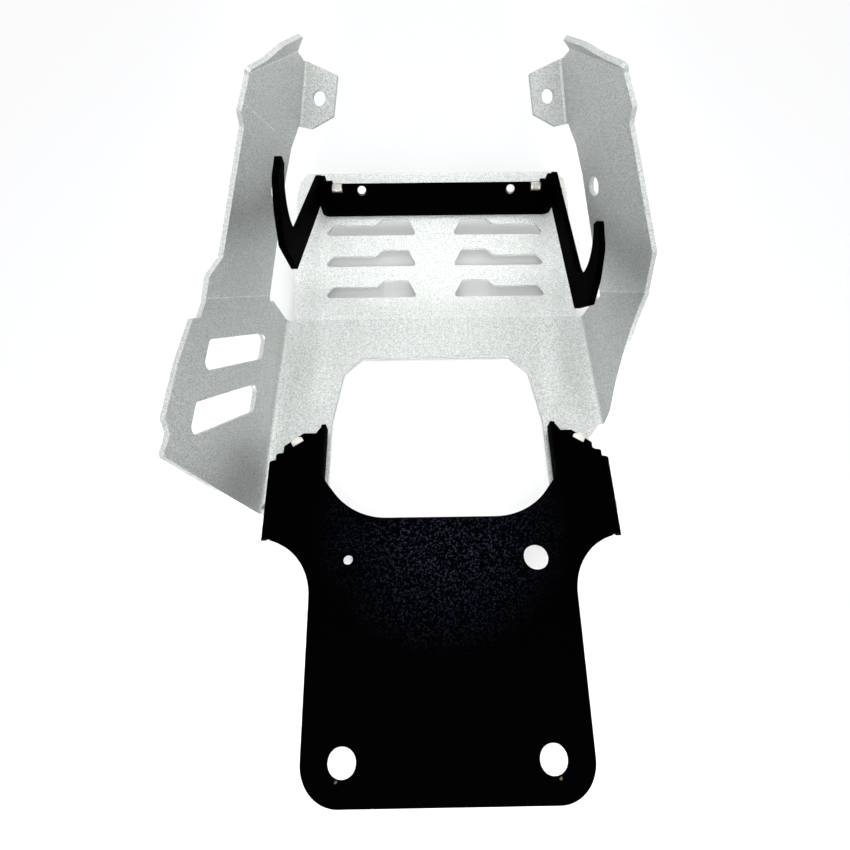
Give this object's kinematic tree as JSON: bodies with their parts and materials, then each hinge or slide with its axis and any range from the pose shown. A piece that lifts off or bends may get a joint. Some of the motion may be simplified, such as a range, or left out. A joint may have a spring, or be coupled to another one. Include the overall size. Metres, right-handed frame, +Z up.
{
  "type": "motorcycle skid plate",
  "caption": "Folded aluminium skid plate with slotted nose, flared sides and bolt arms, a black rear guard on corner brackets and a cross-bar with swinging frame hooks.",
  "frame": {"origin": "middle of the floor's front land, on its underside", "axes": "+X right, +Y forward along the machine, +Z up"},
  "size_m": [0.3436, 0.5445, 0.2074],
  "materials": {
    "bare_aluminium": "fine bead-blasted",
    "black_powder_coat": "fine textured matt black",
    "zinc_steel": "bright zinc"
  },
  "bodies": {
    "plate": {"main_plate": "bare_aluminium", "rear_guard": "black_powder_coat", "left_corner_bracket": "black_powder_coat", "right_corner_bracket": "black_powder_coat", "cross_bar": "black_powder_coat", "left_hook_bolt": "zinc_steel", "right_hook_bolt": "zinc_steel", "left_hook_nut": "black_powder_coat", "right_hook_nut": "black_powder_coat", "left_bar_bolt": "zinc_steel", "right_bar_bolt": "zinc_steel", "left_ear_bolt": "zinc_steel", "right_ear_bolt": "zinc_steel", "left_ear_nut": "black_powder_coat", "right_ear_nut": "black_powder_coat", "left_foot_bolt": "zinc_steel", "right_foot_bolt": "zinc_steel", "left_foot_nut": "zinc_steel", "right_foot_nut": "zinc_steel"},
    "left_hook": {"left_hook": "black_powder_coat"},
    "right_hook": {"right_hook": "black_powder_coat"}
  },
  "joints": [
    {"name": "left_hook_swing", "type": "hinge", "parent": "plate", "child": "left_hook", "pos_m": [-0.1103, 0.13514, 0.06008], "axis": [-1, 0, 0], "range_deg": [-39, 54]},
    {"name": "right_hook_swing", "type": "hinge", "parent": "plate", "child": "right_hook", "pos_m": [0.1173, 0.13514, 0.06008], "axis": [-1, 0, 0], "range_deg": [-23, 60]}
  ]
}
